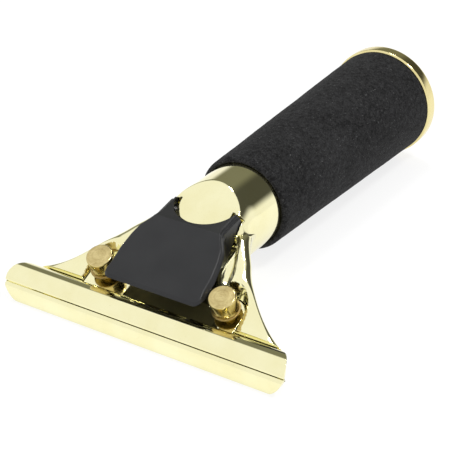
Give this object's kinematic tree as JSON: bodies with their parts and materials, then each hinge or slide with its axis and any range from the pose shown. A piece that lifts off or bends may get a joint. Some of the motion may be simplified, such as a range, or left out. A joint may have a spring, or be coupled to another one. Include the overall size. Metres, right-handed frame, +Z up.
{
  "type": "window squeegee handle",
  "caption": "Polished brass window squeegee handle with a lever-released clamping jaw for a slide-in rubber channel, side studs, a foam grip and a pole socket in its end.",
  "frame": {"origin": "middle of the object's bounding box in plan, at the height of the surface it lies on", "axes": "+X along the jaws, +Y towards the handle end along the pole socket, +Z up, with the release lever on top"},
  "size_m": [0.102, 0.1632, 0.0407],
  "materials": {
    "brass_polished": "polished, lacquered",
    "brass_turned": "turned, satin",
    "brass_collar": "polished",
    "black_nylon": "satin moulded",
    "foam_black": "matt, fine closed-cell grain",
    "steel_plain": "bright drawn"
  },
  "bodies": {
    "head": {"head_casting": "brass_polished", "lower_jaw": "brass_polished", "lever_pin": "steel_plain", "jaw_pin": "steel_plain", "left_stud": "brass_turned", "right_stud": "brass_turned", "left_stud_washer": "brass_turned", "right_stud_washer": "brass_turned", "left_jaw_spring": "steel_plain", "right_jaw_spring": "steel_plain", "left_lock_washer": "steel_plain", "right_lock_washer": "steel_plain", "left_stud_nut": "brass_turned", "right_stud_nut": "brass_turned", "socket_tube": "brass_polished", "tube_rivet": "steel_plain", "foam_grip": "foam_black", "end_collar": "brass_collar"},
    "jaw": {"upper_jaw": "brass_polished"},
    "lever": {"release_lever": "black_nylon"}
  },
  "joints": [
    {"name": "lever_hinge", "type": "hinge", "parent": "head", "child": "lever", "pos_m": [0, -0.0447, 0.0274], "axis": [-1, 0, 0], "range_deg": [0, 70]},
    {"name": "jaw_rock", "type": "hinge", "parent": "head", "child": "jaw", "pos_m": [0, -0.0405, 0.0212], "axis": [-1, 0, 0], "range_deg": [0, 3.3]}
  ],
  "couplings": [
    {"joint": "jaw_rock", "follows": "lever_hinge", "ratio": 0.044}
  ]
}
